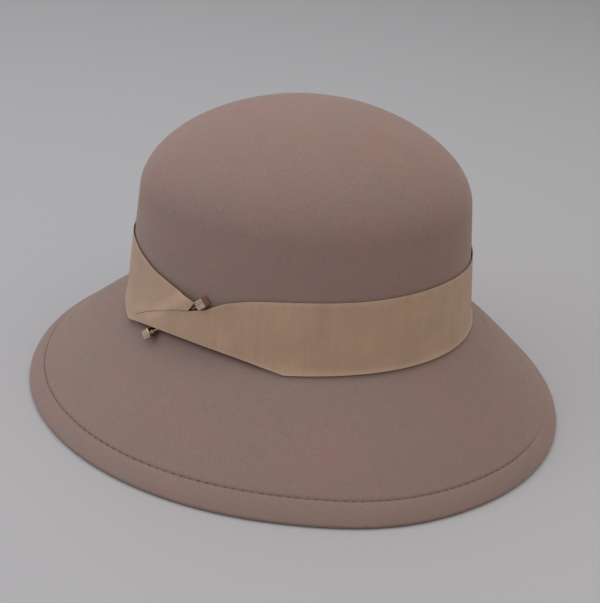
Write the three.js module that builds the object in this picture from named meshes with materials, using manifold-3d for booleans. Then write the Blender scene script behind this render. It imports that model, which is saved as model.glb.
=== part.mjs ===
// Blocked wool felt cloche hat: a round crown and a bell brim in one felt, a ribbon band
// pinched to a waist at the left front, and a gold-coloured pin with a cube at each end.
// Millimetres, +Z up. The front faces -Y, the wearer's left is +X, and the folded edge of
// the brim rests on Z = 0. An azimuth is in degrees from +X, growing towards the back.

import * as THREE from 'three';
import { RoundedBoxGeometry } from 'three/addons/geometries/RoundedBoxGeometry.js';
import { mergeVertices } from 'three/addons/utils/BufferGeometryUtils.js';
import Module from 'manifold-3d';

// Crown, measured on the outside of the felt. Its base circumference is 580, which leaves
// about 566 inside, a head of 56 to 57 cm.
const CROWN_LENGTH = 196.8;
const CROWN_WIDTH = 167.8;
const CROWN_SQUARENESS = 2.12; // exponent of its base's outline, 2 is an ellipse
const CROWN_HEIGHT = 117.9;
const CROWN_WALL_HEIGHT = 71.2; // where the wall ends and the dome begins
const CROWN_TAPER = 0.138; // share of its width that the wall would lose by the top
const CROWN_FULLNESS = 0.005; // share of its width that the wall swells half way up
const DOME_ROUNDNESS = { along: 1.86, across: 2.05 }; // the dome's exponents, 2 is an ellipse
const CROWN_LEAN = 2.1; // degrees forward
const CROWN_FORWARD = 2.5; // crown's centre in front of the brim's centre
const BREAK_HEIGHT = 52.1; // where the crown meets the brim

// Brim
const BRIM_LENGTH = 313;
const BRIM_WIDTH = 276.5;
const BRIM_SQUARENESS = 2.06; // exponent of the edge's outline
// How far the bell stands above a straight slope: its mean, more at the back than at the
// front, and more at the sides than at both
const BRIM_BULGE = { mean: 2.5, back: 0.7, sides: 1.2 };
const FLARE_LEG = 6; // reach of the soft bend between crown and brim, up and down
const FLARE_FILL = 1.7; // how far the bend stands outside the crown's wall at the break
const BRIM_WAVE = { azimuth: 24, spread: 15, push: 1.5 }; // the worn edge swells a little here

// Felt and its folded edge
const FELT_WALL = 2.2;
const HEM_THICKNESS = 4.2;
const HEM_WIDTH = 10;
const HEM_STEP = 0.8;
const EDGE_SLOPE = 37; // direction of the felt's outer face at the fold, degrees above level
const REST_HALF_ANGLE = 25; // the fold is pressed flat over this much each side of straight down
const FELT_COLUMNS = 72;

// Ribbon band. Its edges and the fold of its pleat are heights up the crown from the
// break, by azimuth.
const CLEARANCE = 0.35; // between pieces that lie on each other
const RIBBON_THICKNESS = 1;
const NOTCH_AZIMUTH = -36.7; // where the pleat's fold meets the upper edge
const NOTCH_WIDTH = 0.4; // degrees over which the upper edge drops to the lower layer
const FRONT_CORNER = -65.3; // where it meets the lower edge
const SIDE_CORNER = -2; // where the lower edge turns level again
const TOP_BEHIND_NOTCH = [
  { azimuth: -36.7, height: 27 },
  { azimuth: -33.4, height: 28.6 },
  { azimuth: -30.4, height: 30.1 },
  { azimuth: -28.1, height: 32.2 },
  { azimuth: -24.2, height: 35.2 },
  { azimuth: -20.1, height: 37 },
  { azimuth: -14.6, height: 38.9 },
  { azimuth: -8.3, height: 40 },
  { azimuth: 2.1, height: 41 },
  { azimuth: 16, height: 41.7 },
  { azimuth: 30, height: 42.2 },
  { azimuth: 45, height: 42.9 },
  { azimuth: 60, height: 43 },
  { azimuth: 75, height: 42 },
  { azimuth: 90, height: 41.6 },
  { azimuth: 180, height: 41.4 },
];
const TOP_BEFORE_NOTCH = [
  { azimuth: -180, height: 41.4 },
  { azimuth: -115, height: 42 },
  { azimuth: -92, height: 42.7 },
  { azimuth: -69, height: 43.2 },
  { azimuth: -64.7, height: 42.1 },
  { azimuth: -59.7, height: 40.9 },
  { azimuth: -55.4, height: 39.5 },
  { azimuth: -51.9, height: 38.5 },
  { azimuth: -48, height: 37.5 },
  { azimuth: -45, height: 36.5 },
  { azimuth: -42.4, height: 35.5 },
  { azimuth: -38.9, height: 34.8 },
  { azimuth: -36.7, height: 34.5 },
];
const LOWER_EDGE_AT_PLEAT = [
  { azimuth: -65.3, height: 2.2 },
  { azimuth: -54.6, height: 8 },
  { azimuth: -46.6, height: 10.7 },
  { azimuth: -40.2, height: 11.4 },
  { azimuth: -34.6, height: 10.9 },
  { azimuth: -29.3, height: 9.7 },
  { azimuth: -23.9, height: 8.2 },
  { azimuth: -18.5, height: 6.5 },
  { azimuth: -13, height: 4.7 },
  { azimuth: -7.5, height: 2.9 },
  { azimuth: -2, height: 1 },
];
const LOWER_EDGE_ELSEWHERE = [
  { azimuth: -180, height: 1.3 },
  { azimuth: -90, height: 1.5 },
  { azimuth: -65.3, height: 2.2 },
  { azimuth: -2, height: 1 },
  { azimuth: 20, height: 2 },
  { azimuth: 45, height: 2.1 },
  { azimuth: 72, height: 1.5 },
  { azimuth: 180, height: 1.3 },
];
const PLEAT_FOLD = [
  { azimuth: -65.3, height: 2.2 },
  { azimuth: -60.8, height: 8.6 },
  { azimuth: -56.6, height: 13.2 },
  { azimuth: -47.8, height: 20.8 },
  { azimuth: -40.1, height: 26.5 },
  { azimuth: -36.7, height: 27.9 },
];
const PLEAT_STEP = 0.95; // the upper layer stands this far over the lower at the notch
const PLEAT_FADE = 1.5; // exponent of that step's fall towards the front corner
const PLEAT_MARGIN = 3; // least distance of the pleat's fold from either edge
const PLEAT_DROP = 1; // height over which the pleat steps down to the layer below
const PINCH = { azimuth: -45.4, halfWidth: 31, rise: 4.1 }; // the ribbon stands off over the pin
const PINCH_FALL = { from: 6, over: 12, share: 0.85 }; // and lies down again above its rod
const CORNER_LIFT = { azimuth: -65.3, spread: 9, height: 18, rise: 1.4 }; // at the front corner

// Pin: centres of its two cubes by azimuth, height up the crown and distance off the felt
const CUBE_SIDE = 5.2;
const CUBE_BEVEL = 0.45;
const UPPER_CUBE = { azimuth: -31.7, height: 33.3, offset: 3.15 };
const LOWER_CUBE = { azimuth: -51.9, height: 4.15, offset: 4 };
const ROD_RADIUS = 0.6;
const COLLAR_RADIUS = 1.3;
const COLLAR_LENGTH = 1.6;
const SOCKET_CLEARANCE = 0.3;
const SOCKET_DEPTH = 2.6; // into the lower cube, past its collar
const ROUND_SIDES = 12;
const WELD_DISTANCE = 1e-4; // corners closer than this are one

const FELT_COLOUR = 0x9c8479;
const RIBBON_COLOUR = 0xa88c74;
const GOLD_COLOUR = 0xa9845a;

const wasm = await Module();
wasm.setup();

const radians = THREE.MathUtils.degToRad;

// Radius of a squared oval at an azimuth
function ovalRadius(azimuth, width, length, squareness) {
  const across = Math.abs(Math.cos(radians(azimuth)) / (width / 2)) ** squareness;
  const along = Math.abs(Math.sin(radians(azimuth)) / (length / 2)) ** squareness;
  return (across + along) ** (-1 / squareness);
}

// Share of the crown's base width that is left at a height
function crownShare(azimuth, height) {
  const level = THREE.MathUtils.clamp(height / CROWN_HEIGHT, 0, 1);
  const domeRun = CROWN_HEIGHT - CROWN_WALL_HEIGHT;
  const dome = THREE.MathUtils.clamp((height - CROWN_WALL_HEIGHT) / domeRun, 0, 1);
  const wall = (1 - CROWN_TAPER * level) * (1 + CROWN_FULLNESS * 4 * level * (1 - level));
  const lengthwise = Math.sin(radians(azimuth)) ** 2;
  const roundness = THREE.MathUtils.lerp(DOME_ROUNDNESS.across, DOME_ROUNDNESS.along, lengthwise);
  return wall * (1 - dome ** roundness) ** (1 / roundness);
}

// A point beside the crown: the crown leans forward about the middle of its base
function crownPoint(azimuth, height, offset = 0) {
  const base = ovalRadius(azimuth, CROWN_WIDTH, CROWN_LENGTH, CROWN_SQUARENESS);
  const radius = base * crownShare(azimuth, height) + offset;
  const point = new THREE.Vector3(
    radius * Math.cos(radians(azimuth)),
    radius * Math.sin(radians(azimuth)),
    height,
  );
  point.applyAxisAngle(new THREE.Vector3(1, 0, 0), radians(CROWN_LEAN));
  return point.add(new THREE.Vector3(0, -CROWN_FORWARD, BREAK_HEIGHT));
}

// Difference between two azimuths, from -180 to 180
function turnBetween(from, to) {
  return THREE.MathUtils.euclideanModulo(to - from + 180, 360) - 180;
}

function edgeRadius(azimuth) {
  const away = turnBetween(BRIM_WAVE.azimuth, azimuth) / BRIM_WAVE.spread;
  const oval = ovalRadius(azimuth, BRIM_WIDTH, BRIM_LENGTH, BRIM_SQUARENESS);
  return oval + BRIM_WAVE.push * Math.exp(-(away ** 2));
}

// A point on the round fold of the brim's edge, at an angle above level
function foldPoint(azimuth, slope) {
  const radius = HEM_THICKNESS / 2;
  const middle = edgeRadius(azimuth) - radius;
  const out = middle + radius * Math.cos(radians(slope));
  const up = radius * (Math.cos(radians(REST_HALF_ANGLE)) + Math.sin(radians(slope)));
  return new THREE.Vector3(out * Math.cos(radians(azimuth)), out * Math.sin(radians(azimuth)), up);
}

// A point on the bell of the brim, from 0 at the break to 1 at the fold
function brimPoint(azimuth, share) {
  const point = crownPoint(azimuth, 0).lerp(foldPoint(azimuth, EDGE_SLOPE), share);
  const { mean, back, sides } = BRIM_BULGE;
  const turn = radians(azimuth);
  const bulge = mean + back * Math.sin(turn) + sides * Math.cos(2 * turn);
  point.z += bulge * 4 * share * (1 - share);
  return point;
}

function brimRun(azimuth) {
  return crownPoint(azimuth, 0).distanceTo(foldPoint(azimuth, EDGE_SLOPE));
}

// The soft bend between crown and brim, from 0 on the wall to 1 on the brim
function flarePoint(azimuth, share) {
  const bend = new THREE.QuadraticBezierCurve3(
    crownPoint(azimuth, FLARE_LEG),
    crownPoint(azimuth, 0),
    brimPoint(azimuth, FLARE_LEG / brimRun(azimuth)),
  );
  return bend.getPoint(share);
}

// How far the soft bend stands outside the crown's straight wall at a height
function flareFill(height) {
  const share = THREE.MathUtils.clamp(1 - height / FLARE_LEG, 0, 1);
  return FLARE_FILL * share ** 2;
}

// Closes rows of points into a body. The rows run from one pole to another, or, where
// there are no poles, the last row joins the first as on a ring.
function bodyFromRows(rows, poles) {
  const columns = rows[0].length;
  const points = rows.flat();
  const faces = [];
  const lastRow = poles ? rows.length - 1 : rows.length;
  for (let row = 0; row < lastRow; row += 1) {
    for (let column = 0; column < columns; column += 1) {
      const next = (column + 1) % columns;
      const below = ((row + 1) % rows.length) * columns;
      const a = row * columns + column;
      const b = row * columns + next;
      faces.push([a, below + column, b], [b, below + column, below + next]);
    }
  }
  if (poles) {
    const start = points.push(poles.start) - 1;
    const end = points.push(poles.end) - 1;
    const last = (rows.length - 1) * columns;
    for (let column = 0; column < columns; column += 1) {
      const next = (column + 1) % columns;
      faces.push([start, column, next], [last + column, end, last + next]);
    }
  }
  const geometry = new THREE.BufferGeometry().setFromPoints(points);
  geometry.setIndex(faces.flat());
  return geometry;
}

function feltColumns() {
  return Array.from({ length: FELT_COLUMNS }, (_, index) => (360 * index) / FELT_COLUMNS);
}

// The rows of the felt's outer face, from the top of the dome down to the fold, each with
// the thickness of felt behind it
function outerFeltRows() {
  const domeRows = 10;
  const dome = Array.from({ length: domeRows }, (_, index) => {
    const swing = radians((90 * (index + 1)) / domeRows);
    const height = CROWN_WALL_HEIGHT + (CROWN_HEIGHT - CROWN_WALL_HEIGHT) * Math.cos(swing);
    return { thickness: FELT_WALL, at: (azimuth) => crownPoint(azimuth, height) };
  });
  const wallRows = 5;
  const wall = Array.from({ length: wallRows }, (_, index) => {
    const drop = ((CROWN_WALL_HEIGHT - FLARE_LEG) * (index + 1)) / wallRows;
    return { thickness: FELT_WALL, at: (azimuth) => crownPoint(azimuth, CROWN_WALL_HEIGHT - drop) };
  });
  const flare = [0.25, 0.5, 0.75, 1].map((share) => (
    { thickness: FELT_WALL, at: (azimuth) => flarePoint(azimuth, share) }
  ));
  const bell = [0.2, 0.32, 0.44, 0.56, 0.68, 0.78].map((share) => (
    { thickness: FELT_WALL, at: (azimuth) => brimPoint(azimuth, share) }
  ));
  const hem = [
    { fromEdge: HEM_WIDTH + HEM_STEP, thickness: FELT_WALL },
    { fromEdge: HEM_WIDTH, thickness: HEM_THICKNESS },
    { fromEdge: HEM_WIDTH / 2, thickness: HEM_THICKNESS },
    { fromEdge: 0, thickness: HEM_THICKNESS },
  ].map(({ fromEdge, thickness }) => (
    { thickness, at: (azimuth) => brimPoint(azimuth, 1 - fromEdge / brimRun(azimuth)) }
  ));
  return [...dome, ...wall, ...flare, ...bell, ...hem];
}

// The face of the felt that lies a thickness behind the outer one
function innerRow(outer, row, top, thickness) {
  const columns = outer[row].length;
  return outer[row].map((point, column) => {
    const above = row > 0 ? outer[row - 1][column] : top;
    const below = outer[Math.min(row + 1, outer.length - 1)][column];
    const left = outer[row][(column + columns - 1) % columns];
    const right = outer[row][(column + 1) % columns];
    const down = below.clone().sub(above);
    const round = right.clone().sub(left);
    const inward = round.cross(down).normalize();
    return point.clone().addScaledVector(inward, thickness);
  });
}

function feltGeometry() {
  const columns = feltColumns();
  const table = outerFeltRows();
  const outer = table.map(({ at }) => columns.map(at));
  const top = crownPoint(0, CROWN_HEIGHT);
  const inner = table.map(({ thickness }, row) => innerRow(outer, row, top, thickness));
  const restEdges = [-90 + REST_HALF_ANGLE, -90 - REST_HALF_ANGLE];
  const halfWay = (EDGE_SLOPE + restEdges[0]) / 2;
  const fold = [(EDGE_SLOPE + halfWay) / 2, halfWay, ...restEdges].map(
    (slope) => columns.map((azimuth) => foldPoint(azimuth, slope)),
  );
  inner[inner.length - 1] = columns.map((azimuth) => foldPoint(azimuth, EDGE_SLOPE - 180));
  const up = crownPoint(0, CROWN_HEIGHT + 1).sub(top);
  const poles = { start: top, end: top.clone().addScaledVector(up, -FELT_WALL) };
  return bodyFromRows([...outer, ...fold, ...inner.reverse()], poles);
}

// Height at an azimuth, straight between a table's rows and level beyond its ends
function heightFrom(table, azimuth) {
  const last = table[table.length - 1].azimuth;
  const within = THREE.MathUtils.clamp(azimuth, table[0].azimuth, last);
  const after = Math.max(table.findIndex((row) => row.azimuth >= within), 1);
  const [low, high] = [table[after - 1], table[after]];
  const share = (within - low.azimuth) / (high.azimuth - low.azimuth);
  return THREE.MathUtils.lerp(low.height, high.height, share);
}

function bandBottom(azimuth) {
  const atPleat = azimuth > FRONT_CORNER && azimuth < SIDE_CORNER;
  return heightFrom(atPleat ? LOWER_EDGE_AT_PLEAT : LOWER_EDGE_ELSEWHERE, azimuth);
}

function bandTop(azimuth) {
  return heightFrom(azimuth > NOTCH_AZIMUTH ? TOP_BEHIND_NOTCH : TOP_BEFORE_NOTCH, azimuth);
}

// The pleat's fold runs from the notch down to the lower front corner, where it opens
function pleatHeight(azimuth) {
  const low = bandBottom(azimuth) + PLEAT_MARGIN;
  const high = bandTop(azimuth) - PLEAT_MARGIN;
  return THREE.MathUtils.clamp(heightFrom(PLEAT_FOLD, azimuth), low, high);
}

// How far the upper layer stands over the lower: most at the notch, nothing at the corner
function pleatStep(azimuth) {
  const share = (azimuth - NOTCH_AZIMUTH) / (FRONT_CORNER - NOTCH_AZIMUTH);
  return share >= 0 && share < 1 ? PLEAT_STEP * (1 - share ** PLEAT_FADE) : 0;
}

// How far the ribbon's inner face lies off the crown's wall
function standOff(azimuth, height) {
  const { clamp, smoothstep } = THREE.MathUtils;
  const share = clamp((azimuth - PINCH.azimuth) / PINCH.halfWidth, -1, 1);
  const alongRod = (azimuth - UPPER_CUBE.azimuth) / (LOWER_CUBE.azimuth - UPPER_CUBE.azimuth);
  const rod = THREE.MathUtils.lerp(UPPER_CUBE.height, LOWER_CUBE.height, clamp(alongRod, 0, 1));
  const above = (height - rod - PINCH_FALL.from) / PINCH_FALL.over;
  const held = 1 - PINCH_FALL.share * smoothstep(above, 0, 1);
  const pinch = PINCH.rise * Math.cos((Math.PI / 2) * share) ** 2 * held;
  const fromCorner = (azimuth - CORNER_LIFT.azimuth) / CORNER_LIFT.spread;
  const low = 1 - smoothstep(height / CORNER_LIFT.height, 0, 1);
  const lift = CORNER_LIFT.rise * Math.exp(-(fromCorner ** 2)) * low;
  return CLEARANCE + flareFill(height) + pinch + lift;
}

// Azimuths of the ribbon's columns: the felt's own, and more where its edges turn
function ribbonColumns() {
  const halfStep = 180 / FELT_COLUMNS;
  const even = feltColumns().map((azimuth) => turnBetween(0, azimuth));
  const pinched = even.filter((azimuth) => azimuth <= SIDE_CORNER && azimuth > FRONT_CORNER);
  const close = pinched.map((azimuth) => azimuth - halfStep);
  const corners = [SIDE_CORNER, FRONT_CORNER, NOTCH_AZIMUTH, NOTCH_AZIMUTH + NOTCH_WIDTH];
  const all = [...even, ...close, ...corners];
  return [...new Set(all)].sort((first, second) => first - second);
}

function ribbonGeometry() {
  const columns = ribbonColumns();
  const row = (heightAt, depthAt) => columns.map((azimuth) => {
    const height = heightAt(azimuth);
    return crownPoint(azimuth, height, standOff(azimuth, height) + depthAt(azimuth));
  });
  const between = (lowAt, highAt, share) => (azimuth) => (
    THREE.MathUtils.lerp(lowAt(azimuth), highAt(azimuth), share)
  );
  const underPleat = (azimuth) => pleatHeight(azimuth) - PLEAT_DROP;
  const abovePleat = between(pleatHeight, bandTop, 0.5);
  const lowerLayer = [
    underPleat,
    between(bandBottom, underPleat, 0.5),
    between(bandBottom, underPleat, 0.15),
    bandBottom,
  ];
  const face = () => RIBBON_THICKNESS;
  const raised = (azimuth) => RIBBON_THICKNESS + pleatStep(azimuth);
  const back = () => 0;
  return bodyFromRows([
    ...[bandTop, abovePleat, pleatHeight].map((heightAt) => row(heightAt, raised)),
    ...lowerLayer.map((heightAt) => row(heightAt, face)),
    ...[...lowerLayer].reverse().map((heightAt) => row(heightAt, back)),
    ...[abovePleat, bandTop].map((heightAt) => row(heightAt, back)),
  ]);
}

// Joins and cuts work on closed meshes of plain points
function toSolid(geometry) {
  const plain = geometry.clone();
  plain.deleteAttribute('normal');
  plain.deleteAttribute('uv');
  const merged = mergeVertices(plain, WELD_DISTANCE);
  return new wasm.Manifold(new wasm.Mesh({
    numProp: 3,
    vertProperties: new Float32Array(merged.attributes.position.array),
    triVerts: new Uint32Array(merged.index.array),
  }));
}

function toGeometry(solid) {
  const mesh = solid.getMesh();
  const geometry = new THREE.BufferGeometry();
  geometry.setAttribute('position', new THREE.BufferAttribute(mesh.vertProperties, 3));
  geometry.setIndex(new THREE.BufferAttribute(mesh.triVerts, 1));
  return geometry;
}

// A round bar along X, in the pin's own frame
function bar(radius, from, to) {
  const geometry = new THREE.CylinderGeometry(radius, radius, to - from, ROUND_SIDES);
  geometry.rotateZ(-Math.PI / 2);
  geometry.translate((from + to) / 2, 0, 0);
  return toSolid(geometry);
}

function cube(centre, turn) {
  const geometry = new RoundedBoxGeometry(CUBE_SIDE, CUBE_SIDE, CUBE_SIDE, 1, CUBE_BEVEL);
  geometry.rotateX(turn);
  geometry.translate(centre, 0, 0);
  return toSolid(geometry);
}

function cubeCentre({ azimuth, height, offset }) {
  return crownPoint(azimuth, height, offset);
}

// Straight away from the crown at a cube
function awayFromCrown({ azimuth, height }) {
  return crownPoint(azimuth, height, 1).sub(crownPoint(azimuth, height));
}

// The pin's own frame: X from the upper cube's centre to the lower one's, Z off the felt
function pinFrame() {
  const start = cubeCentre(UPPER_CUBE);
  const along = cubeCentre(LOWER_CUBE).sub(start);
  const length = along.length();
  const x = along.normalize();
  const y = awayFromCrown(UPPER_CUBE).cross(x).normalize();
  const z = x.clone().cross(y);
  const lowerAway = awayFromCrown(LOWER_CUBE);
  const lowerTurn = Math.atan2(-lowerAway.dot(y), lowerAway.dot(z));
  return { matrix: new THREE.Matrix4().makeBasis(x, y, z).setPosition(start), length, lowerTurn };
}

const pin = pinFrame();

function pinRodGeometry() {
  const rodEnd = pin.length - CUBE_SIDE / 2 + SOCKET_DEPTH - SOCKET_CLEARANCE;
  return toGeometry(
    cube(0, 0)
      .add(bar(COLLAR_RADIUS, 0, CUBE_SIDE / 2 + COLLAR_LENGTH))
      .add(bar(ROD_RADIUS, 0, rodEnd)),
  );
}

function pinEndCapGeometry() {
  const face = pin.length - CUBE_SIDE / 2;
  return toGeometry(
    cube(pin.length, pin.lowerTurn)
      .add(bar(COLLAR_RADIUS, face - COLLAR_LENGTH, pin.length))
      .subtract(bar(ROD_RADIUS + SOCKET_CLEARANCE, face - 2 * COLLAR_LENGTH, face + SOCKET_DEPTH)),
  );
}

function piece(name, geometry, colour, roughness, metalness) {
  const material = new THREE.MeshStandardMaterial({ color: colour, roughness, metalness });
  const mesh = new THREE.Mesh(geometry, material);
  mesh.name = name;
  return mesh;
}

const hat = new THREE.Group();
hat.add(piece('felt_body', feltGeometry(), FELT_COLOUR, 0.95, 0));
hat.add(piece('ribbon_band', ribbonGeometry(), RIBBON_COLOUR, 0.8, 0));

const pinGroup = new THREE.Group();
pinGroup.applyMatrix4(pin.matrix);
pinGroup.add(piece('pin_rod', pinRodGeometry(), GOLD_COLOUR, 0.3, 1));
pinGroup.add(piece('pin_end_cap', pinEndCapGeometry(), GOLD_COLOUR, 0.3, 1));
hat.add(pinGroup);

export default hat;
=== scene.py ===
"""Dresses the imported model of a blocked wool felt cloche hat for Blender 4.5.

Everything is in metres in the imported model's own frame: +Z up, the front faces -Y, the
wearer's left is +X, and the folded edge of the brim rests on Z = 0. An azimuth is in
degrees from +X, growing towards the back, and a height is measured up the crown from its
break with the brim.
"""

import logging
import math
from collections.abc import Callable
from dataclasses import dataclass, field
from enum import Enum
from functools import partial

import bmesh
import bpy
import numpy as np
from bmesh.types import BMesh
from bpy.types import Material, Mesh, Node, NodeSocket, NodeTree, Object, bpy_prop_collection
from mathutils import Matrix, Vector, noise


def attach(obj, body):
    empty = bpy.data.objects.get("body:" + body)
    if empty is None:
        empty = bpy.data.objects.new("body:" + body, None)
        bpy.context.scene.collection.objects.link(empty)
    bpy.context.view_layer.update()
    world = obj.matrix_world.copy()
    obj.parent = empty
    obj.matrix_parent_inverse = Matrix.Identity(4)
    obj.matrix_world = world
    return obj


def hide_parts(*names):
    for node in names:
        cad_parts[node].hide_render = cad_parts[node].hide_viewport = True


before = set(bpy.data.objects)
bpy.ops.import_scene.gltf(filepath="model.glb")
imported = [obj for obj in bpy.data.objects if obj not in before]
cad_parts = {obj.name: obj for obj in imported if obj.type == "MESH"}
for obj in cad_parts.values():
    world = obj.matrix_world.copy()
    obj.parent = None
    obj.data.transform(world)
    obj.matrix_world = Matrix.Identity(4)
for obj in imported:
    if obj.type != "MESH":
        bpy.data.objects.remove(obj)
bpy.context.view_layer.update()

IMAGE_WIDTH = 600
MM = 0.001
LOG = logging.getLogger("felt_hat")

Points = np.ndarray
Table = tuple[tuple[float, float], ...]
Triple = tuple[float, float, float]
Adder = Callable[..., Node]


class Slot(Enum):
    """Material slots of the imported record."""

    FELT = "felt"
    RIBBON = "ribbon"
    METAL = "gold_metal"


def linear(colour: str, alpha: float = 1.0) -> tuple[float, float, float, float]:
    """Turns an sRGB hex colour into Blender's linear colour.

    Args:
        colour: six hex digits, such as "8a7368".
        alpha: opacity from 0 to 1.

    Returns:
        Red, green, blue and alpha, linear.
    """
    parts = [int(colour[start:start + 2], 16) / 255 for start in (0, 2, 4)]
    red, green, blue = (
        part / 12.92 if part <= 0.04045 else ((part + 0.055) / 1.055) ** 2.4 for part in parts
    )
    return red, green, blue, alpha


def feed(node: Node, inputs: dict[str | int, object]) -> None:
    """Sets or links a node's inputs.

    Args:
        node: the node.
        inputs: by socket name or number, a value, an output socket, or a node whose first
            output in use is taken.
    """
    for key, value in inputs.items():
        if isinstance(value, Node):
            value = next(output for output in value.outputs if output.enabled)
        if isinstance(value, NodeSocket):
            node.id_data.links.new(value, node.inputs[key])
        else:
            node.inputs[key].default_value = value


def add_node(
    tree: NodeTree,
    kind: str,
    inputs: dict[str | int, object] | None = None,
    **settings: object,
) -> Node:
    """Adds one node with its settings and links.

    Args:
        tree: node tree that the node goes into.
        kind: Blender's name of the node's type.
        inputs: what its inputs get, as feed() takes it.
        settings: values by property name.

    Returns:
        The new node.
    """
    node = tree.nodes.new(kind)
    for name, value in settings.items():
        setattr(node, name, value)
    feed(node, inputs or {})
    return node


def new_material(name: str) -> tuple[Material, Adder, Node]:
    """Makes a material and returns it with what adds nodes to it and with its shader."""
    material = bpy.data.materials.new(name)
    material.use_nodes = True
    tree = material.node_tree
    return material, partial(add_node, tree), tree.nodes["Principled BSDF"]


def start_tree(
    name: str, sizes: dict[str, float | int]
) -> tuple[NodeTree, Adder, bpy_prop_collection]:
    """Starts a Geometry Nodes tree that grows detail on a mesh.

    Args:
        name: the tree's name.
        sizes: floats and whole numbers by input name.

    Returns:
        The tree, what adds nodes to it, and the sockets that its inputs come from.
    """
    tree = bpy.data.node_groups.new(name, "GeometryNodeTree")
    tree.interface.new_socket("Bed", in_out="INPUT", socket_type="NodeSocketGeometry")
    for size, value in sizes.items():
        kind = "NodeSocketInt" if isinstance(value, int) else "NodeSocketFloat"
        tree.interface.new_socket(size, in_out="INPUT", socket_type=kind)
    tree.interface.new_socket("Grown", in_out="OUTPUT", socket_type="NodeSocketGeometry")
    add = partial(add_node, tree)
    return tree, add, add("NodeGroupInput").outputs


def end_tree(tree: NodeTree, copies: Node, material: Material) -> None:
    """Ends a Geometry Nodes tree: its copies become real mesh with one material."""
    real = add_node(tree, "GeometryNodeRealizeInstances", {"Geometry": copies})
    dressed = add_node(tree, "GeometryNodeSetMaterial", {"Geometry": real, "Material": material})
    add_node(tree, "NodeGroupOutput", {"Grown": dressed})


def ring(columns: int) -> Points:
    """Even azimuths right round the hat."""
    return np.arange(columns) * 360 / columns


def smooth_step(share: Points | float) -> Points:
    """Eases a share from 0 to 1, flat at both ends."""
    held = np.clip(share, 0, 1)
    return held * held * (3 - 2 * held)


def through_table(x: Points, table: Table) -> Points:
    """Reads a smooth curve through the rows of a table.

    Args:
        x: where to read it.
        table: rows of x and y, with x rising. The curve is level beyond either end.

    Returns:
        The curve's y at each x.
    """
    known = np.array(table, float)
    slopes = np.gradient(known[:, 1], known[:, 0])
    held = np.clip(x, known[0, 0], known[-1, 0])
    index = np.clip(np.searchsorted(known[:, 0], held) - 1, 0, len(known) - 2)
    run = known[index + 1, 0] - known[index, 0]
    share = (held - known[index, 0]) / run
    return (
        (2 * share**3 - 3 * share**2 + 1) * known[index, 1]
        + (share**3 - 2 * share**2 + share) * run * slopes[index]
        + (3 * share**2 - 2 * share**3) * known[index + 1, 1]
        + (share**3 - share**2) * run * slopes[index + 1]
    )


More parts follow.
